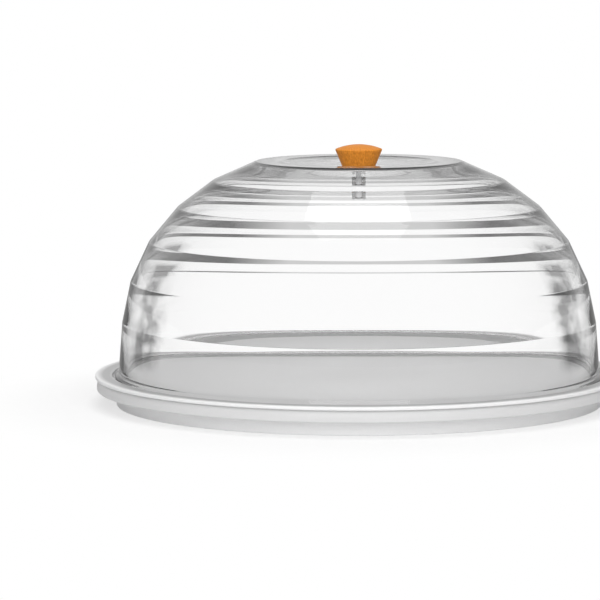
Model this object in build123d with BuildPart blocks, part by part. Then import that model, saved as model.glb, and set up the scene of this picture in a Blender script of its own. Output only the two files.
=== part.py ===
"""Cake stand with a clear faceted dome: all sizes in millimetres, +Z up.

The origin is the middle of the foot ring, on the surface that the stand rests on.
"""

import math
import os

from build123d import *

# Driving dimensions of the tray
foot_height = 9.0
foot_wall = 2.3
foot_inset = 2.6
foot_edge_radius = 0.5
shelf_thickness = 2.2
shelf_corner_radius = 1.0
base_wall = 2.2
band_height = 2.5
band_edge_radius = 1.1
shoulder_height = 5.1
shoulder_narrowing = 2.2
lip_overhang = 1.0
lip_thickness = 2.1
lip_edge_radius = 0.7
plate_floor = 2.4
well_depth = 3.7
well_wall = 2.4
well_corner_radius = 0.8
flange_width = 10.7
skirt_wall = 2.0
skirt_depth = 4.6
snap_height = 1.6
snap_depth = 0.5

# Driving dimensions of the dome, listed from the top edge down to the rim
top_radius = 64.0
facet_runs = (27.0, 22.0, 18.0, 11.6, 5.4, 2.3)
facet_drops = (12.0, 16.5, 21.5, 24.7, 25.8, 30.2)
facet_edge_radius = 2.5
edge_walls = (2.3, 2.3, 2.3, 2.35, 2.45, 2.85, 3.4)
top_wall = 2.5
rim_width = 2.5
rim_height = 3.2
rim_flare_height = 2.3
rim_edge_radius = 0.6
recess_land = 16.2
recess_depth = 4.2
recess_floor_radius = 12.0
recess_edge_radius = 1.5
boss_radius = 4.3
boss_length = 9.5
boss_root_radius = 1.0

# Driving dimensions of the knob and its fastening
knob_height = 14.5
knob_crown = 3.0
knob_top_radius = 14.8
knob_foot_radius = 10.0
knob_edge_radius = 0.8
screw_radius = 1.75
screw_length = 22.0
screw_point = 3.0
screw_head_radius = 3.9
screw_head_height = 2.4
screw_head_edge_radius = 1.2
cross_width = 0.9
cross_length = 4.4
cross_depth = 1.4
washer_radius = 4.3
washer_thickness = 1.0

# Clearances
well_clearance = 1.5
seat_clearance = 0.3
snap_clearance = 0.3
hole_clearance = 0.2
pilot_clearance = 0.05
tip_clearance = 1.0

# Levels, from the table up
shelf_top = foot_height + shelf_thickness
shoulder_bottom = foot_height + band_height
flange_bottom = shoulder_bottom + shoulder_height
flange_top = flange_bottom + lip_thickness
well_floor = flange_top - well_depth
plate_bottom = well_floor - plate_floor
rim_bottom = well_floor + seat_clearance
rim_top = rim_bottom + rim_height
dome_top = rim_top + rim_flare_height + sum(facet_drops)
recess_floor = dome_top - recess_depth
recess_bottom = recess_floor - top_wall
boss_bottom = recess_bottom - boss_length
washer_bottom = boss_bottom - washer_thickness
screw_head_bottom = washer_bottom - screw_head_height
knob_top = recess_floor + knob_height

# Radii, from the dome out to the edge of the tray
dome_radius = top_radius + sum(facet_runs)
rim_radius = dome_radius + rim_width
well_radius = rim_radius + well_clearance
tray_radius = well_radius + flange_width
band_radius = tray_radius - lip_overhang
foot_radius = well_radius - foot_inset
foot_inner_radius = foot_radius - foot_wall
skirt_radius = foot_inner_radius - snap_clearance
recess_radius = top_radius - recess_land


def facet_corners():
    """Corners of the outer profile of the dome, from the top edge down."""
    corners = [(top_radius, dome_top)]
    for run, drop in zip(facet_runs, facet_drops):
        radius, height = corners[-1]
        corners.append((radius + run, height - drop))
    return corners


def inner_corners():
    """Points of the smooth inner wall, one behind each corner, with its direction there."""
    corners = facet_corners()
    leans = [math.atan2(drop, run) for run, drop in zip(facet_runs, facet_drops)]
    leans = [leans[0]] + leans + [math.pi / 2]
    points = []
    directions = []
    for index, (radius, height) in enumerate(corners):
        lean = (leans[index] + leans[index + 1]) / 2
        wall = edge_walls[index]
        points.append((radius - wall * math.sin(lean), height - wall * math.cos(lean)))
        directions.append((math.cos(lean), -math.sin(lean)))
    return points, directions


def bowl_radius(width, depth):
    """Radius of the arc that leaves a flat floor and climbs depth over width."""
    return (width**2 + depth**2) / (2 * depth)


def corner(section, radius, height):
    """Corner of a section that lies nearest to the given radius and height."""
    return section.vertices().sort_by_distance((radius, height, 0))[0]


# Dome: faceted outside, smooth inside, a shallow dish round the knob and a boss for its screw
outer_points = facet_corners()
inner_points, inner_directions = inner_corners()
inner_foot = inner_points[-1][0]
bowl = bowl_radius(recess_radius - recess_floor_radius, recess_depth)
under_bowl = bowl + top_wall
ceiling = dome_top - top_wall
under_bowl_reach = math.sqrt(under_bowl**2 - (recess_floor + bowl - ceiling) ** 2)
bowl_mouth = recess_floor_radius + under_bowl_reach
outer_path = [(inner_foot, rim_bottom), (rim_radius, rim_bottom), (rim_radius, rim_top)]
outer_path += reversed(outer_points)
outer_path += [(recess_radius, dome_top)]
outer_rounds = [rim_edge_radius] * 3 + [facet_edge_radius] * len(facet_runs)
with BuildPart() as dome:
    with BuildSketch(Plane.XZ) as dome_section:
        with BuildLine() as dome_outline:
            FilletPolyline(*outer_path, radius=outer_rounds)
            RadiusArc((recess_radius, dome_top), (recess_floor_radius, recess_floor), bowl)
            Polyline(
                (recess_floor_radius, recess_floor),
                (0, recess_floor),
                (0, boss_bottom),
                (boss_radius, boss_bottom),
                (boss_radius, recess_bottom),
                (recess_floor_radius, recess_bottom),
            )
            RadiusArc((recess_floor_radius, recess_bottom), (bowl_mouth, ceiling), -under_bowl)
            Polyline((bowl_mouth, ceiling), (inner_points[0][0], ceiling), inner_points[0])
            Spline(*inner_points, tangents=inner_directions)
            Line(inner_points[-1], (inner_foot, rim_bottom))
        make_face()
        fillet(corner(dome_section, recess_radius, dome_top), radius=recess_edge_radius)
        fillet(corner(dome_section, bowl_mouth, ceiling), radius=recess_edge_radius + top_wall)
        fillet(corner(dome_section, boss_radius, recess_bottom), radius=boss_root_radius)
    revolve(axis=Axis.Z)
    with Locations((0, 0, recess_floor)):
        Hole(radius=screw_radius + hole_clearance, depth=top_wall + boss_length)
dome.part.label = "dome"

# Knob: a turned cone on its small end, with a crowned top and a pilot hole from below
knob_edge_height = knob_top - knob_crown
crown = bowl_radius(knob_top_radius, knob_crown)
pilot_depth = screw_length - washer_thickness - boss_length - top_wall + tip_clearance
with BuildPart() as knob:
    with BuildSketch(Plane.XZ) as knob_section:
        with BuildLine():
            Polyline(
                (0, knob_top),
                (0, recess_floor),
                (knob_foot_radius, recess_floor),
                (knob_top_radius, knob_edge_height),
            )
            RadiusArc((knob_top_radius, knob_edge_height), (0, knob_top), -crown)
        make_face()
        fillet(corner(knob_section, knob_top_radius, knob_edge_height), radius=knob_edge_radius)
    revolve(axis=Axis.Z)
    with Locations((0, 0, recess_floor)):
        Hole(radius=screw_radius + pilot_clearance, depth=pilot_depth)
knob.part.label = "knob"

# Screw: pan head with a cross recess, driven up through the washer and the dome into the knob
screw_tip = washer_bottom + screw_length
screw_shoulder = screw_tip - screw_point
with BuildPart() as knob_screw:
    with BuildSketch(Plane.XZ) as screw_section:
        with BuildLine():
            Polyline(
                (0, screw_head_bottom),
                (screw_head_radius, screw_head_bottom),
                (screw_head_radius, washer_bottom),
                (screw_radius, washer_bottom),
                (screw_radius, screw_shoulder),
                (0, screw_tip),
                (0, screw_head_bottom),
            )
        make_face()
        fillet(
            corner(screw_section, screw_head_radius, screw_head_bottom),
            radius=screw_head_edge_radius,
        )
    revolve(axis=Axis.Z)
    with BuildSketch(Plane.XY.offset(screw_head_bottom)):
        Rectangle(cross_length, cross_width)
        Rectangle(cross_width, cross_length)
    extrude(amount=cross_depth, mode=Mode.SUBTRACT)
knob_screw.part.label = "knob_screw"

# Washer between the screw head and the end of the boss
with BuildPart() as knob_washer:
    with BuildSketch(Plane.XY.offset(washer_bottom)):
        Circle(washer_radius)
        Circle(screw_radius + hole_clearance, mode=Mode.SUBTRACT)
    extrude(amount=washer_thickness)
knob_washer.part.label = "knob_washer"

# Tray plate: floor, well for the rim of the dome, flange, thin lip and a snap skirt below
snap_middle = plate_bottom - skirt_depth + snap_height
plate_points = [
    (0, plate_bottom),
    (skirt_radius - skirt_wall, plate_bottom),
    (skirt_radius - skirt_wall, plate_bottom - skirt_depth),
    (skirt_radius, plate_bottom - skirt_depth),
    (skirt_radius + snap_depth, snap_middle),
    (skirt_radius, snap_middle + snap_height),
    (skirt_radius, plate_bottom),
    (well_radius + well_wall, plate_bottom),
    (well_radius + well_wall, flange_bottom),
    (tray_radius, flange_bottom),
    (tray_radius, flange_top),
    (well_radius, flange_top),
    (well_radius, well_floor),
    (0, well_floor),
]
with BuildPart() as tray_plate:
    with BuildSketch(Plane.XZ) as plate_section:
        with BuildLine():
            Polyline(*plate_points, close=True)
        make_face()
        fillet(corner(plate_section, tray_radius, flange_top), radius=lip_edge_radius)
        fillet(corner(plate_section, tray_radius, flange_bottom), radius=lip_edge_radius)
        fillet(corner(plate_section, well_radius, flange_top), radius=lip_edge_radius)
        fillet(corner(plate_section, well_radius, well_floor), radius=well_corner_radius)
    revolve(axis=Axis.Z)
tray_plate.part.label = "tray_plate"

# Tray base: rounded shoulder, upright band, shelf and set-back foot ring with a snap groove
shoulder_radius = band_radius - shoulder_narrowing
shoulder_round = bowl_radius(shoulder_height, shoulder_narrowing)
base_inner_radius = band_radius - base_wall
groove_depth = snap_depth + snap_clearance
with BuildPart() as tray_base:
    with BuildSketch(Plane.XZ) as base_section:
        with BuildLine():
            RadiusArc(
                (shoulder_radius, flange_bottom), (band_radius, shoulder_bottom), shoulder_round
            )
            Polyline(
                (band_radius, shoulder_bottom),
                (band_radius, foot_height),
                (foot_radius, foot_height),
                (foot_radius, 0),
                (foot_inner_radius, 0),
                (foot_inner_radius, snap_middle - snap_height),
                (foot_inner_radius + groove_depth, snap_middle),
                (foot_inner_radius, snap_middle + snap_height),
                (foot_inner_radius, plate_bottom),
                (foot_radius, plate_bottom),
                (foot_radius, shelf_top),
                (base_inner_radius, shelf_top),
                (base_inner_radius, shoulder_bottom),
            )
            RadiusArc(
                (base_inner_radius, shoulder_bottom),
                (shoulder_radius - base_wall, flange_bottom),
                -(shoulder_round - base_wall),
            )
            Line((shoulder_radius - base_wall, flange_bottom), (shoulder_radius, flange_bottom))
        make_face()
        fillet(corner(base_section, band_radius, foot_height), radius=band_edge_radius)
        fillet(corner(base_section, foot_radius, foot_height), radius=shelf_corner_radius)
        fillet(corner(base_section, foot_radius, 0), radius=foot_edge_radius)
        fillet(corner(base_section, foot_inner_radius, 0), radius=foot_edge_radius)
    revolve(axis=Axis.Z)
tray_base.part.label = "tray_base"

# One file for each piece
os.makedirs("parts", exist_ok=True)
for piece in (dome, knob, knob_screw, knob_washer, tray_plate, tray_base):
    export_step(piece.part, f"parts/{piece.part.label}.step")
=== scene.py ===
"""Cake stand with a clear faceted dome: shapes, finishes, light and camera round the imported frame.

Every length is in metres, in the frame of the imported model, with +Z up.
"""

import math

import bmesh
import bpy
from mathutils import Matrix, Vector


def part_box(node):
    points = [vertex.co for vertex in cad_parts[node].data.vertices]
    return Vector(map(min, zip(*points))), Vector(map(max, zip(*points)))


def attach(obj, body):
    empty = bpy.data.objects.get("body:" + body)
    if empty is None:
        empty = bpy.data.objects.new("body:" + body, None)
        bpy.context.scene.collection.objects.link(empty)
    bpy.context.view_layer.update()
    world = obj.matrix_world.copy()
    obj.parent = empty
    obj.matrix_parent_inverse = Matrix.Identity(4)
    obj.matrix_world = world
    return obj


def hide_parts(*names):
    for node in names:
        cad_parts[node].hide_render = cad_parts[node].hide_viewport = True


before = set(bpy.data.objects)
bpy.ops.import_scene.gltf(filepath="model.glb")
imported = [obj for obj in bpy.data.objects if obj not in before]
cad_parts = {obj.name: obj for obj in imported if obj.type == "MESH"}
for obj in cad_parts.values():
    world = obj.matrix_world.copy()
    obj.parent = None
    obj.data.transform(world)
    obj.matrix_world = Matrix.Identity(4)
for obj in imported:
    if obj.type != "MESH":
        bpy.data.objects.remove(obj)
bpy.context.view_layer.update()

MM = 0.001

# How finely the pieces are turned
TURN_STEPS = 256
DOME_RING_SPACING = 3.0 * MM
TRAY_RING_SPACING = 4.0 * MM
ROUNDING_STEPS = 6
WALL_STEPS = 10
BOWL_STEPS = 16
SHOULDER_STEPS = 12
MERGE_DISTANCE = 0.001 * MM

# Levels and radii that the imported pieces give
DOME_LOW, DOME_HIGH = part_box("dome")
PLATE_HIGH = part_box("tray_plate")[1]
BASE_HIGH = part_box("tray_base")[1]
RIM_RADIUS = DOME_HIGH[0]
RIM_BOTTOM = DOME_LOW[2]
DOME_TOP = DOME_HIGH[2]

# The dome: six cones outside, each with a run out and a drop, and the wall behind each edge
TOP_RADIUS = 64.0 * MM
FACET_RUNS = [run * MM for run in (27.0, 22.0, 18.0, 11.6, 5.4, 2.3)]
FACET_DROPS = [drop * MM for drop in (12.0, 16.5, 21.5, 24.7, 25.8, 30.2)]
EDGE_WALLS = [wall * MM for wall in (2.3, 2.3, 2.3, 2.35, 2.45, 2.85, 3.4)]
FACET_ROUNDING = 0.35 * MM
TOP_WALL = 2.5 * MM
RIM_HEIGHT = 3.2 * MM
RIM_ROUNDING = 0.6 * MM
CEILING_ROUNDING = 1.2 * MM
RECESS_LAND = 16.2 * MM
RECESS_DEPTH = 4.2 * MM
RECESS_FLOOR_RADIUS = 12.0 * MM
BOSS_RADIUS = 4.3 * MM
BOSS_LENGTH = 9.5 * MM
BOSS_ROOT_ROUNDING = 1.0 * MM
SCREW_HOLE_RADIUS = 1.95 * MM

# The tray, from its edge in to the foot
TRAY_RADIUS = PLATE_HIGH[0]
FLANGE_TOP = PLATE_HIGH[2]
FLANGE_BOTTOM = BASE_HIGH[2]
BAND_RADIUS = BASE_HIGH[0]
WELL_CLEARANCE = 1.5 * MM
WELL_RADIUS = RIM_RADIUS + WELL_CLEARANCE
RIM_GAP = 0.3 * MM
WELL_FLOOR = RIM_BOTTOM - RIM_GAP
WELL_WALL = 2.4 * MM
WELL_ROUNDING = 0.8 * MM
LIP_ROUNDING = 0.7 * MM
PLATE_FLOOR = 2.4 * MM
SKIRT_DEPTH = 4.6 * MM
SKIRT_WALL = 2.0 * MM
SNAP_HEIGHT = 1.6 * MM
SNAP_DEPTH = 0.5 * MM
SNAP_CLEARANCE = 0.3 * MM
FOOT_INSET = 2.6 * MM
FOOT_RADIUS = WELL_RADIUS - FOOT_INSET
FOOT_WALL = 2.3 * MM
FOOT_HEIGHT = 9.0 * MM
FOOT_ROUNDING = 0.5 * MM
SKIRT_RADIUS = FOOT_RADIUS - FOOT_WALL - SNAP_CLEARANCE
SHELF_THICKNESS = 2.2 * MM
SHELF_ROUNDING = 1.0 * MM
BASE_WALL = 2.2 * MM
BAND_ROUNDING = 1.1 * MM
SHOULDER_HEIGHT = 5.1 * MM
SHOULDER_NARROWING = 2.2 * MM

# Levels where the tray's two mouldings meet
PLATE_BOTTOM = WELL_FLOOR - PLATE_FLOOR
SKIRT_BOTTOM = PLATE_BOTTOM - SKIRT_DEPTH
SNAP_LEVEL = SKIRT_BOTTOM + SNAP_HEIGHT


# Shapes


def section(points, roundings):
    """A bmesh with one face through (radius, height) points, in the XZ plane.

    Roundings are (radius, height, offset), one for each corner that isn't left sharp.
    """
    bm = bmesh.new()
    bm.faces.new([bm.verts.new((radius, 0, height)) for radius, height in points])
    for rounding in roundings:
        round_corner(bm, *rounding)
    return bm


def round_corner(bm, radius, height, offset):
    """Rounds the corner of a section that lies nearest to the given point."""
    place = Vector((radius, 0, height))
    vert = min(bm.verts, key=lambda v: (v.co - place).length)
    bmesh.ops.bevel(
        bm,
        geom=[vert],
        offset=offset,
        offset_type="OFFSET",
        affect="VERTICES",
        segments=ROUNDING_STEPS,
        profile=0.5,
        material=-1,
    )


def turn(bm, name, spacing):
    """Turns a section about Z into a closed, smooth piece with rings no wider than spacing."""
    bmesh.ops.delete(bm, geom=bm.faces[:], context="FACES_ONLY")

    # An edge that lies on the axis would spin into nothing
    on_axis = [e for e in bm.edges if all(abs(v.co.x) < MERGE_DISTANCE for v in e.verts)]
    bmesh.ops.delete(bm, geom=on_axis, context="EDGES")

    for edge in bm.edges[:]:
        cuts = int(edge.calc_length() / spacing)
        if cuts:
            bmesh.ops.subdivide_edges(bm, edges=[edge], cuts=cuts)
    bmesh.ops.spin(
        bm,
        geom=bm.verts[:] + bm.edges[:],
        cent=(0, 0, 0),
        axis=(0, 0, 1),
        dvec=(0, 0, 0),
        angle=2 * math.pi,
        steps=TURN_STEPS,
        use_merge=True,
    )
    bmesh.ops.remove_doubles(bm, verts=bm.verts[:], dist=MERGE_DISTANCE)
    bmesh.ops.recalc_face_normals(bm, faces=bm.faces[:])
    return piece(bm, name)


def piece(bm, name, smooth=True):
    """An object at the origin that holds the finished bmesh."""
    mesh = bpy.data.meshes.new(name)
    bm.to_mesh(mesh)
    bm.free()
    if smooth:
        mesh.shade_smooth()
    obj = bpy.data.objects.new(name, mesh)
    bpy.context.scene.collection.objects.link(obj)
    return obj


def facet_corners():
    """Corners of the dome's outer profile, from the top edge down."""
    corners = [(TOP_RADIUS, DOME_TOP)]
    for run, drop in zip(FACET_RUNS, FACET_DROPS):
        corners.append((corners[-1][0] + run, corners[-1][1] - drop))
    return corners


def inner_wall(corners):
    """Points of the smooth inner wall: a curve that passes behind each corner at the mean lean."""
    leans = [math.atan2(drop, run) for run, drop in zip(FACET_RUNS, FACET_DROPS)]
    leans = [leans[0]] + leans + [math.pi / 2]
    knots = []
    for index, (radius, height) in enumerate(corners):
        lean = (leans[index] + leans[index + 1]) / 2
        wall = EDGE_WALLS[index]
        place = Vector((radius - wall * math.sin(lean), height - wall * math.cos(lean)))
        knots.append((place, Vector((math.cos(lean), -math.sin(lean)))))
    points = [tuple(knots[0][0])]
    for (start, leave), (end, arrive) in zip(knots, knots[1:]):
        span = (end - start).length
        for step in range(1, WALL_STEPS + 1):
            # A cubic curve that leaves one knot and reaches the next in their directions
            t = step / WALL_STEPS
            place = start * (2 * t**3 - 3 * t**2 + 1) + end * (3 * t**2 - 2 * t**3)
            place += leave * span * (t**3 - 2 * t**2 + t) + arrive * span * (t**3 - t**2)
            points.append(tuple(place))
    return points


def bowl_arc(start_radius, start_height, width, depth):
    """Points of an arc that leaves a flat floor and climbs depth over width."""
    radius = (width**2 + depth**2) / (2 * depth)
    sweep = math.asin(width / radius)
    return [
        (
            start_radius + radius * math.sin(sweep * step / BOWL_STEPS),
            start_height + radius * (1 - math.cos(sweep * step / BOWL_STEPS)),
        )
        for step in range(1, BOWL_STEPS + 1)
    ]


def make_dome():
    """The clear cover: six cones outside, one smooth wall inside, a bowl round the knob."""
    corners = facet_corners()
    ceiling = DOME_TOP - TOP_WALL
    inner = [point for point in inner_wall(corners) if point[1] < ceiling]

    # The wall's highest point is carried on up to the ceiling at the first cone's slope
    radius, height = inner[0]
    ceiling_radius = radius - (ceiling - height) * FACET_RUNS[0] / FACET_DROPS[0]

    recess_radius = TOP_RADIUS - RECESS_LAND
    recess_floor = DOME_TOP - RECESS_DEPTH
    recess_bottom = recess_floor - TOP_WALL
    boss_bottom = recess_bottom - BOSS_LENGTH
    rim_top = RIM_BOTTOM + RIM_HEIGHT

    # The bowl's upper and lower faces are arcs about one centre, TOP_WALL apart
    bowl_width = recess_radius - RECESS_FLOOR_RADIUS
    bowl = bowl_arc(RECESS_FLOOR_RADIUS, recess_floor, bowl_width, RECESS_DEPTH)
    under_round = (bowl_width**2 + RECESS_DEPTH**2) / (2 * RECESS_DEPTH) + TOP_WALL
    under_depth = ceiling - recess_bottom
    under_width = math.sqrt(under_round**2 - (under_round - under_depth) ** 2)
    under = bowl_arc(RECESS_FLOOR_RADIUS, recess_bottom, under_width, under_depth)

    outline = [(SCREW_HOLE_RADIUS, recess_floor), (RECESS_FLOOR_RADIUS, recess_floor)]
    outline += bowl
    outline += corners
    outline += [(RIM_RADIUS, rim_top), (RIM_RADIUS, RIM_BOTTOM), (inner[-1][0], RIM_BOTTOM)]
    outline += reversed(inner)
    outline += [(ceiling_radius, ceiling)]
    outline += reversed(under)
    outline += [
        (RECESS_FLOOR_RADIUS, recess_bottom),
        (BOSS_RADIUS, recess_bottom),
        (BOSS_RADIUS, boss_bottom),
        (SCREW_HOLE_RADIUS, boss_bottom),
    ]
    roundings = [(*corner, FACET_ROUNDING) for corner in corners]
    roundings += [
        (recess_radius, DOME_TOP, RIM_ROUNDING),
        (ceiling_radius, ceiling, CEILING_ROUNDING),
        (*under[-1], CEILING_ROUNDING),
        (BOSS_RADIUS, recess_bottom, BOSS_ROOT_ROUNDING),
        (RIM_RADIUS, rim_top, RIM_ROUNDING),
        (RIM_RADIUS, RIM_BOTTOM, RIM_ROUNDING),
    ]
    return turn(section(outline, roundings), "dome_shell", DOME_RING_SPACING)


def make_plate():
    """The tray's floor, well, flange and lip, with the snap skirt below."""
    outline = [
        (0, PLATE_BOTTOM),
        (SKIRT_RADIUS - SKIRT_WALL, PLATE_BOTTOM),
        (SKIRT_RADIUS - SKIRT_WALL, SKIRT_BOTTOM),
        (SKIRT_RADIUS, SKIRT_BOTTOM),
        (SKIRT_RADIUS + SNAP_DEPTH, SNAP_LEVEL),
        (SKIRT_RADIUS, SNAP_LEVEL + SNAP_HEIGHT),
        (SKIRT_RADIUS, PLATE_BOTTOM),
        (WELL_RADIUS + WELL_WALL, PLATE_BOTTOM),
        (WELL_RADIUS + WELL_WALL, FLANGE_BOTTOM),
        (TRAY_RADIUS, FLANGE_BOTTOM),
        (TRAY_RADIUS, FLANGE_TOP),
        (WELL_RADIUS, FLANGE_TOP),
        (WELL_RADIUS, WELL_FLOOR),
        (0, WELL_FLOOR),
    ]
    roundings = [
        (TRAY_RADIUS, FLANGE_TOP, LIP_ROUNDING),
        (TRAY_RADIUS, FLANGE_BOTTOM, LIP_ROUNDING),
        (WELL_RADIUS, FLANGE_TOP, LIP_ROUNDING),
        (WELL_RADIUS, WELL_FLOOR, WELL_ROUNDING),
    ]
    return turn(section(outline, roundings), "plate_turned", TRAY_RING_SPACING)


def shoulder_arc(start_radius):
    """Points of the shoulder's curve, from the flange down to the upright band at start_radius."""
    radius = (SHOULDER_HEIGHT**2 + SHOULDER_NARROWING**2) / (2 * SHOULDER_NARROWING)
    sweep = math.asin(SHOULDER_HEIGHT / radius)
    low = FLANGE_BOTTOM - SHOULDER_HEIGHT
    return [
        (
            start_radius - radius * (1 - math.cos(sweep * step / SHOULDER_STEPS)),
            low + radius * math.sin(sweep * step / SHOULDER_STEPS),
        )
        for step in range(SHOULDER_STEPS, -1, -1)
    ]


def make_base():
    """The tray's rounded shoulder, band, shelf and foot ring."""
    shelf_top = FOOT_HEIGHT + SHELF_THICKNESS
    foot_inner = FOOT_RADIUS - FOOT_WALL
    groove = foot_inner + SNAP_DEPTH + SNAP_CLEARANCE
    band_inner = BAND_RADIUS - BASE_WALL
    outline = shoulder_arc(BAND_RADIUS)
    outline += [
        (BAND_RADIUS, FOOT_HEIGHT),
        (FOOT_RADIUS, FOOT_HEIGHT),
        (FOOT_RADIUS, 0),
        (foot_inner, 0),
        (foot_inner, SNAP_LEVEL - SNAP_HEIGHT),
        (groove, SNAP_LEVEL),
        (foot_inner, SNAP_LEVEL + SNAP_HEIGHT),
        (foot_inner, PLATE_BOTTOM),
        (FOOT_RADIUS, PLATE_BOTTOM),
        (FOOT_RADIUS, shelf_top),
        (band_inner, shelf_top),
    ]
    outline += reversed(shoulder_arc(band_inner))
    roundings = [
        (BAND_RADIUS, FOOT_HEIGHT, BAND_ROUNDING),
        (FOOT_RADIUS, FOOT_HEIGHT, SHELF_ROUNDING),
        (FOOT_RADIUS, 0, FOOT_ROUNDING),
        (foot_inner, 0, FOOT_ROUNDING),
    ]
    return turn(section(outline, roundings), "base_turned", TRAY_RING_SPACING)


# Finishes

# Clear plastic, with a painted shade that darkens its outline. Stops are (how far the surface turns
# away from the eye, brightness)
CLEAR_IOR = 1.5
CLEAR_SHINE = 0.4
FACING_BLEND = 0.5
OUTLINE_PAINTED_SHADE = [
    (0.0, 1.0),
    (0.6, 1.0),
    (0.72, 0.95),
    (0.8, 0.85),
    (0.85, 0.7),
    (0.9, 0.42),
    (1.0, 0.2),
]
CLEAR_SHADOW = 0.97

# The dome's flat top is kept out of the painted outline shade, at one even tint. Stops are (height,
# amount)
TOP_TINT = 0.9
TOP_LEVELS = [(0.0, 0.0), (0.1435, 0.0), (0.1445, 1.0), (1.0, 1.0)]

# Painted shade: dark patches near the dome's left and right edges, at some heights and broken up by
# noise
SIDE_PAINTED_SHADE = 0.14
SIDE_FACING = [(0.0, 0.0), (0.44, 0.0), (0.52, 1.0), (0.64, 1.0), (0.72, 0.0), (1.0, 0.0)]
SIDE_LEVELS = [
    (0.0, 0.0),
    (0.026, 0.0),
    (0.034, 1.0),
    (0.054, 1.0),
    (0.060, 0.1),
    (0.066, 0.1),
    (0.070, 1.0),
    (0.082, 1.0),
    (0.088, 0.0),
    (1.0, 0.0),
]
SIDE_SHADE_NOISE_SCALE = 45.0
SIDE_SHADE_NOISE_SHARE = [(0.0, 0.0), (0.35, 0.2), (0.55, 1.0), (1.0, 1.0)]

# Painted light and shade on one tray plastic, by distance from the axis: the plate's floor, a
# painted shade on the flange, a painted highlight on the lip's rounded top and a mid grey on its
# side. Stops are (radius, brightness)
PLATE_PAINTED_LIGHT = [
    (0.0, 0.76),
    (0.1545, 0.76),
    (0.1552, 0.42),
    (0.1635, 0.42),
    (0.164, 0.9),
    (0.1647, 0.9),
    (0.16495, 0.6),
    (1.0, 0.6),
]
# Painted light and shade on the base: the foot ring lighter, the shoulder and band darker
BASE_PAINTED_LIGHT = [(0.0, 0.9), (0.1525, 0.9), (0.156, 0.66), (1.0, 0.66)]

# How matt and how shiny or metallic each opaque finish is
TRAY_ROUGHNESS = 0.35
WOOD_ROUGHNESS = 0.55
WOOD_SHINE = 0.25
STEEL_METALLIC = 0.2
STEEL_ROUGHNESS = 0.4
RUBBER_ROUGHNESS = 0.8

# Fine speckle of each opaque finish: noise scale and detail, its dark and its light colour
TRAY_SPECKLE = (900.0, 3.0, (0.95, 0.95, 0.955, 1), (1.0, 1.0, 1.0, 1))
WOOD_SPECKLE = (1400.0, 4.0, (0.58, 0.18, 0.016, 1), (0.88, 0.33, 0.036, 1))
STEEL_SPECKLE = (2500.0, 2.0, (0.78, 0.78, 0.79, 1), (0.88, 0.88, 0.89, 1))
RUBBER_SPECKLE = (3000.0, 2.0, (0.23, 0.23, 0.23, 1), (0.28, 0.28, 0.28, 1))
WOOD_CONTRAST = (0.3, 0.7)
GRAIN_STRETCH = (1.0, 1.0, 0.12)


def feed(links, socket, value):
    """Links a socket to another node's output, or sets it to a constant."""
    if isinstance(value, bpy.types.NodeSocket):
        links.new(value, socket)
    else:
        socket.default_value = value


def grey(brightness):
    """A neutral colour."""
    return (brightness, brightness, brightness, 1)


def grey_ramp(nodes, links, value, stops):
    """The brightness that (position, brightness) stops give for a value."""
    ramp = nodes.new("ShaderNodeValToRGB")
    elements = ramp.color_ramp.elements
    while len(elements) < len(stops):
        elements.new(0.5)
    for element, (position, brightness) in zip(elements, stops):
        element.position = position
        element.color = grey(brightness)
    links.new(value, ramp.inputs["Fac"])
    return ramp.outputs["Color"]


def calculate(nodes, links, operation, *values, clamp=False):
    """The result of a sum with one or two numbers or sockets."""
    node = nodes.new("ShaderNodeMath")
    node.operation = operation
    node.use_clamp = clamp
    for socket, value in zip(node.inputs, values):
        feed(links, socket, value)
    return node.outputs["Value"]


def blend(nodes, links, share, first, second, kind="MIX"):
    """The first colour where share is 0, and its blend with the second where share is 1."""
    node = nodes.new("ShaderNodeMix")
    node.data_type = "RGBA"
    node.blend_type = kind
    feed(links, node.inputs["Factor"], share)
    feed(links, node.inputs["A"], first)
    feed(links, node.inputs["B"], second)
    return node.outputs["Result"]


def switch(nodes, links, share, otherwise, then):
    """The second shader where share is 1, and the first where it is 0."""
    mix = nodes.new("ShaderNodeMixShader")
    links.new(share, mix.inputs["Fac"])
    links.new(otherwise, mix.inputs[1])
    links.new(then, mix.inputs[2])
    return mix.outputs["Shader"]


def distance(nodes, links, vector):
    """The length of a vector."""
    node = nodes.new("ShaderNodeVectorMath")
    node.operation = "LENGTH"
    links.new(vector, node.inputs[0])
    return node.outputs["Value"]


def new_group(name, inputs, outputs):
    """A node group with named sockets, and the nodes that hold its inputs and its outputs."""
    group = bpy.data.node_groups.new(name, "ShaderNodeTree")
    for socket, kind in inputs:
        group.interface.new_socket(socket, in_out="INPUT", socket_type=kind)
    for socket, kind in outputs:
        group.interface.new_socket(socket, in_out="OUTPUT", socket_type=kind)
    return group, group.nodes.new("NodeGroupInput"), group.nodes.new("NodeGroupOutput")


def make_speckle_group():
    """Noise that goes from a dark to a light colour while it climbs from Low to High."""
    number, colour = "NodeSocketFloat", "NodeSocketColor"
    inputs = [("Vector", "NodeSocketVector"), ("Scale", number), ("Detail", number)]
    inputs += [("Low", number), ("High", number), ("Dark", colour), ("Light", colour)]
    group, given, result = new_group("speckle", inputs, [("Color", colour)])
    nodes, links = group.nodes, group.links
    noise = nodes.new("ShaderNodeTexNoise")
    for name in ("Vector", "Scale", "Detail"):
        links.new(given.outputs[name], noise.inputs[name])
    level = nodes.new("ShaderNodeMapRange")
    links.new(noise.outputs["Fac"], level.inputs["Value"])
    links.new(given.outputs["Low"], level.inputs["From Min"])
    links.new(given.outputs["High"], level.inputs["From Max"])
    colours = given.outputs["Dark"], given.outputs["Light"]
    links.new(blend(nodes, links, level.outputs["Result"], *colours), result.inputs["Color"])
    return group


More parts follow.
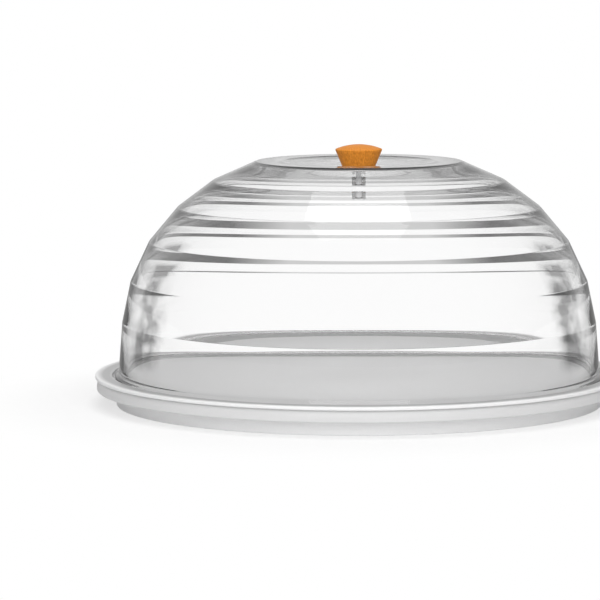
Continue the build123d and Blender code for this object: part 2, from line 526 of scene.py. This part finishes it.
def make_radius_group():
    """The distance of a place from the Z axis."""
    inputs = [("Vector", "NodeSocketVector")]
    group, given, result = new_group("radius_from_axis", inputs, [("Radius", "NodeSocketFloat")])
    nodes, links = group.nodes, group.links
    split = nodes.new("ShaderNodeSeparateXYZ")
    links.new(given.outputs["Vector"], split.inputs["Vector"])
    flat = nodes.new("ShaderNodeCombineXYZ")
    for axis in ("X", "Y"):
        links.new(split.outputs[axis], flat.inputs[axis])
    links.new(distance(nodes, links, flat.outputs["Vector"]), result.inputs["Radius"])
    return group


def new_material(name):
    """A material with its nodes, links, Principled BSDF and place on the object."""
    made = bpy.data.materials.new(name)
    made.use_nodes = True
    nodes, links = made.node_tree.nodes, made.node_tree.links
    place = nodes.new("ShaderNodeTexCoord").outputs["Object"]
    return made, nodes, links, nodes["Principled BSDF"], place


def speckled(nodes, links, place, speckle, contrast=(0.0, 1.0)):
    """The colour that the speckle group gives at a place."""
    node = nodes.new("ShaderNodeGroup")
    node.node_tree = SPECKLE_GROUP
    links.new(place, node.inputs["Vector"])
    for name, value in zip(("Scale", "Detail", "Dark", "Light"), speckle):
        node.inputs[name].default_value = value
    node.inputs["Low"].default_value, node.inputs["High"].default_value = contrast
    return node.outputs["Color"]


def clear_plastic():
    """Colourless moulded plastic with painted shade: darker at the outline, with dark patches at the
    sides.
    """
    made, nodes, links, shader, place = new_material("clear_plastic")
    shader.inputs["IOR"].default_value = CLEAR_IOR
    shader.inputs["Transmission Weight"].default_value = 1.0
    shader.inputs["Roughness"].default_value = 0.0
    shader.inputs["Specular Tint"].default_value = grey(CLEAR_SHINE)
    weight = nodes.new("ShaderNodeLayerWeight")
    weight.inputs["Blend"].default_value = FACING_BLEND
    facing = weight.outputs["Facing"]
    split = nodes.new("ShaderNodeSeparateXYZ")
    links.new(place, split.inputs["Vector"])
    height = split.outputs["Z"]
    side_shade_noise = nodes.new("ShaderNodeTexNoise")
    side_shade_noise.inputs["Scale"].default_value = SIDE_SHADE_NOISE_SCALE
    links.new(place, side_shade_noise.inputs["Vector"])

    # The painted side shade stands where the side, the height and the noise all allow it
    at_side = grey_ramp(nodes, links, facing, SIDE_FACING)
    at_height = grey_ramp(nodes, links, height, SIDE_LEVELS)
    broken_up = grey_ramp(nodes, links, side_shade_noise.outputs["Fac"], SIDE_SHADE_NOISE_SHARE)
    painted_side_shade = calculate(nodes, links, "MULTIPLY", at_side, at_height)
    painted_side_shade = calculate(nodes, links, "MULTIPLY", painted_side_shade, broken_up)
    # Painted shade: darker towards the outline, darker still in the side patches, and one even tint
    # on the flat top
    painted_shade = grey_ramp(nodes, links, facing, OUTLINE_PAINTED_SHADE)
    painted_shade = blend(nodes, links, painted_side_shade, painted_shade, grey(SIDE_PAINTED_SHADE))
    at_top = grey_ramp(nodes, links, height, TOP_LEVELS)
    painted_shade = blend(nodes, links, at_top, painted_shade, grey(TOP_TINT))
    links.new(painted_shade, shader.inputs["Base Color"])

    # The dome's shadow is faint
    shadow = nodes.new("ShaderNodeBsdfTransparent")
    shadow.inputs["Color"].default_value = grey(CLEAR_SHADOW)
    is_shadow = nodes.new("ShaderNodeLightPath").outputs["Is Shadow Ray"]
    seen = switch(nodes, links, is_shadow, shader.outputs["BSDF"], shadow.outputs["BSDF"])
    links.new(seen, nodes["Material Output"].inputs["Surface"])
    return made


def tray_plastic(name, painted_light_zones):
    """Pale grey-white moulded plastic with a soft gloss, and painted light and shade by radius."""
    made, nodes, links, shader, place = new_material(name)
    radius = nodes.new("ShaderNodeGroup")
    radius.node_tree = RADIUS_GROUP
    links.new(place, radius.inputs["Vector"])
    # Painted light and shade: the one plastic made lighter or darker by radius
    painted_light = grey_ramp(nodes, links, radius.outputs["Radius"], painted_light_zones)
    speckle = speckled(nodes, links, place, TRAY_SPECKLE)
    colour = blend(nodes, links, 1.0, painted_light, speckle, kind="MULTIPLY")
    links.new(colour, shader.inputs["Base Color"])
    shader.inputs["Roughness"].default_value = TRAY_ROUGHNESS
    return made


def knob_wood():
    """Orange-brown varnished wood with fine upright grain."""
    made, nodes, links, shader, place = new_material("knob_wood")
    stretch = nodes.new("ShaderNodeMapping")
    stretch.inputs["Scale"].default_value = GRAIN_STRETCH
    links.new(place, stretch.inputs["Vector"])
    colour = speckled(nodes, links, stretch.outputs["Vector"], WOOD_SPECKLE, WOOD_CONTRAST)
    links.new(colour, shader.inputs["Base Color"])
    shader.inputs["Roughness"].default_value = WOOD_ROUGHNESS
    shader.inputs["Specular IOR Level"].default_value = WOOD_SHINE
    return made


def screw_steel():
    """Bright zinc-plated steel with a fine speckle."""
    made, nodes, links, shader, place = new_material("screw_steel")
    links.new(speckled(nodes, links, place, STEEL_SPECKLE), shader.inputs["Base Color"])
    shader.inputs["Metallic"].default_value = STEEL_METALLIC
    shader.inputs["Roughness"].default_value = STEEL_ROUGHNESS
    return made


def washer_rubber():
    """Dark grey matt rubber."""
    made, nodes, links, shader, place = new_material("washer_rubber")
    links.new(speckled(nodes, links, place, RUBBER_SPECKLE), shader.inputs["Base Color"])
    shader.inputs["Roughness"].default_value = RUBBER_ROUGHNESS
    return made


def assign(name, finish):
    """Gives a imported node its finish."""
    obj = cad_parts[name]
    obj.data.materials.clear()
    obj.data.materials.append(finish)


SPECKLE_GROUP = make_speckle_group()
RADIUS_GROUP = make_radius_group()

dome = make_dome()
dome.data.materials.append(clear_plastic())
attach(dome, "cover")
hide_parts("dome")

# Each tray moulding with its painted light and shade by radius
for made, node, painted_light_zones in (
    (make_plate(), "tray_plate", PLATE_PAINTED_LIGHT),
    (make_base(), "tray_base", BASE_PAINTED_LIGHT),
):
    made.data.materials.append(tray_plastic(node + "_plastic", painted_light_zones))
    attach(made, "tray")
    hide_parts(node)
assign("knob", knob_wood())
assign("knob_screw", screw_steel())
assign("knob_washer", washer_rubber())

# Camera, floor, surroundings and lamps

# The photograph's width and focal length in pixels, and the sensor's width in millimetres
FRAME_PIXELS = 600
FOCAL_PIXELS = 3907.0
SENSOR_WIDTH = 36.0
CAMERA_PLACE = Vector((-0.0368, -2.43, 0.324))
CAMERA_PITCH = math.radians(6.10)
CAMERA_ROLL = math.radians(0.13)
CAMERA_REACH = 100.0

# The floor keeps the shadow near the object and fades to white between two distances
FLOOR_RADIUS = 3.0
FLOOR_STEPS = 96
FLOOR_BRIGHTNESS = 0.97
FLOOR_FADE_START = 0.165
FLOOR_FADE_END = 0.26
FLOOR_LEAST_WHITE = 0.6
FLOOR_MIRRORED = 0.35

# Surroundings seen through the dome and in reflections: stops are (degrees above the horizon,
# brightness). Matt surfaces get an even light from all round
THROUGH_STOPS = [(-90, 1.0), (-3.0, 1.0), (-1.8, 0.15), (90, 0.15)]
REFLECTED_STOPS = [(-90, 0.4), (-1, 0.4), (1, 0.75), (90, 0.75)]
AMBIENT_STRENGTH = 0.4

# A white card straight behind the object: its direction, and where it starts and ends to fade,
# in degrees, and how much it whitens what is seen through the dome
CARD_MIDDLE = 0.9
CARD_FADE = (1.2, 2.3)
CARD_LEVEL = 0.55

# A lamp above and a wide, soft one in front
OVERHEAD_PLACE = (0.0, 0.0, 2.0)
OVERHEAD_TARGET = (0, 0, 0)
OVERHEAD_SIZE = 1.0
OVERHEAD_POWER = 11.5
FRONT_PLACE = (0.05, -2.3, 0.95)
FRONT_TARGET = (0, 0, 0.02)
FRONT_SIZE = 2.6
FRONT_POWER = 47.0


def make_camera():
    """The camera at the photograph's height, distance and slight roll."""
    right = Vector((1, 0, 0))
    forward = Vector((0, math.cos(CAMERA_PITCH), -math.sin(CAMERA_PITCH)))
    down = forward.cross(right)
    rolled_right = right * math.cos(CAMERA_ROLL) + down * math.sin(CAMERA_ROLL)
    rolled_down = down * math.cos(CAMERA_ROLL) - right * math.sin(CAMERA_ROLL)
    data = bpy.data.cameras.new("camera")
    data.sensor_width = SENSOR_WIDTH
    data.lens = FOCAL_PIXELS / FRAME_PIXELS * SENSOR_WIDTH
    data.clip_end = CAMERA_REACH
    camera = bpy.data.objects.new("camera", data)
    camera.matrix_world = Matrix.Translation(CAMERA_PLACE) @ Matrix(
        (rolled_right, -rolled_down, -forward)
    ).transposed().to_4x4()
    bpy.context.scene.collection.objects.link(camera)
    bpy.context.scene.camera = camera


def make_floor():
    """A pale disc that keeps the shadow and fades to white."""
    bm = bmesh.new()
    bmesh.ops.create_circle(bm, cap_ends=True, segments=FLOOR_STEPS, radius=FLOOR_RADIUS)
    floor = piece(bm, "floor", smooth=False)
    made, nodes, links, shader, place = new_material("floor_pale")
    nodes.remove(shader)
    diffuse = nodes.new("ShaderNodeBsdfDiffuse")
    diffuse.inputs["Color"].default_value = grey(FLOOR_BRIGHTNESS)
    fade = nodes.new("ShaderNodeMapRange")
    fade.interpolation_type = "SMOOTHSTEP"
    fade.inputs["From Min"].default_value = FLOOR_FADE_START
    fade.inputs["From Max"].default_value = FLOOR_FADE_END
    fade.inputs["To Min"].default_value = FLOOR_LEAST_WHITE
    links.new(distance(nodes, links, place), fade.inputs["Value"])

    # The white part is dimmer in reflections, and lights nothing
    path = nodes.new("ShaderNodeLightPath")
    glossy, passed = path.outputs["Is Glossy Ray"], path.outputs["Is Transmission Ray"]
    reflected = calculate(nodes, links, "SUBTRACT", glossy, passed, clamp=True)
    dim = nodes.new("ShaderNodeMapRange")
    dim.inputs["To Min"].default_value = 1.0
    dim.inputs["To Max"].default_value = FLOOR_MIRRORED
    links.new(reflected, dim.inputs["Value"])
    white = nodes.new("ShaderNodeEmission")
    links.new(dim.outputs["Result"], white.inputs["Strength"])
    seen = calculate(nodes, links, "SUBTRACT", 1.0, path.outputs["Is Diffuse Ray"])
    share = calculate(nodes, links, "MULTIPLY", fade.outputs["Result"], seen)
    surface = switch(nodes, links, share, diffuse.outputs["BSDF"], white.outputs["Emission"])
    links.new(surface, nodes["Material Output"].inputs["Surface"])
    floor.data.materials.append(made)


def sky(nodes, links, height, stops):
    """The surroundings' brightness by elevation; height is the sine of the elevation."""
    to_unit = nodes.new("ShaderNodeMapRange")
    to_unit.inputs["From Min"].default_value = -1.0
    links.new(height, to_unit.inputs["Value"])
    places = [((math.sin(math.radians(stop[0])) + 1) / 2, stop[1]) for stop in stops]
    return grey_ramp(nodes, links, to_unit.outputs["Result"], places)


def white_card(nodes, links, split):
    """The card's share: CARD_LEVEL straight behind the object, falling to 0 at both sides."""
    turned = calculate(nodes, links, "ARCTAN2", split.outputs["X"], split.outputs["Y"])
    offset = calculate(nodes, links, "SUBTRACT", turned, math.radians(CARD_MIDDLE))
    level = nodes.new("ShaderNodeMapRange")
    level.inputs["From Min"].default_value = math.radians(CARD_FADE[0])
    level.inputs["From Max"].default_value = math.radians(CARD_FADE[1])
    level.inputs["To Min"].default_value = CARD_LEVEL
    level.inputs["To Max"].default_value = 0.0
    links.new(calculate(nodes, links, "ABSOLUTE", offset), level.inputs["Value"])
    return level.outputs["Result"]


def backdrop(nodes, links, colour, strength=1.0):
    """A background shader."""
    node = nodes.new("ShaderNodeBackground")
    feed(links, node.inputs["Color"], colour)
    node.inputs["Strength"].default_value = strength
    return node.outputs["Background"]


def make_world():
    """A studio: white to the camera, with other levels through plastic and in reflections."""
    world = bpy.data.worlds.new("studio")
    world.use_nodes = True
    nodes, links = world.node_tree.nodes, world.node_tree.links
    nodes.remove(nodes["Background"])
    split = nodes.new("ShaderNodeSeparateXYZ")
    links.new(nodes.new("ShaderNodeTexCoord").outputs["Generated"], split.inputs["Vector"])
    height = split.outputs["Z"]
    through = sky(nodes, links, height, THROUGH_STOPS)
    through = blend(nodes, links, white_card(nodes, links, split), through, grey(1.0))
    reflected = sky(nodes, links, height, REFLECTED_STOPS)
    path = nodes.new("ShaderNodeLightPath").outputs
    shown = backdrop(nodes, links, reflected)
    for rays, then in (
        ("Is Transmission Ray", backdrop(nodes, links, through)),
        ("Is Diffuse Ray", backdrop(nodes, links, grey(1.0), AMBIENT_STRENGTH)),
        ("Is Camera Ray", backdrop(nodes, links, grey(1.0))),
    ):
        shown = switch(nodes, links, path[rays], shown, then)
    links.new(shown, nodes["World Output"].inputs["Surface"])
    bpy.context.scene.world = world


def make_lamp(name, place, target, size, power, mirrored=True):
    """A square soft lamp that points at target, and that shows in reflections if mirrored."""
    data = bpy.data.lights.new(name, "AREA")
    data.shape = "SQUARE"
    data.size = size
    data.energy = power
    lamp = bpy.data.objects.new(name, data)
    lamp.visible_glossy = mirrored
    lamp.visible_transmission = mirrored
    lamp.matrix_world = Matrix.Translation(place) @ (
        Vector(place) - Vector(target)
    ).to_track_quat("Z", "Y").to_matrix().to_4x4()
    bpy.context.scene.collection.objects.link(lamp)


make_camera()
make_floor()
make_world()
make_lamp("overhead", OVERHEAD_PLACE, OVERHEAD_TARGET, OVERHEAD_SIZE, OVERHEAD_POWER)
make_lamp("front", FRONT_PLACE, FRONT_TARGET, FRONT_SIZE, FRONT_POWER, mirrored=False)
bpy.context.scene.view_settings.view_transform = "Standard"
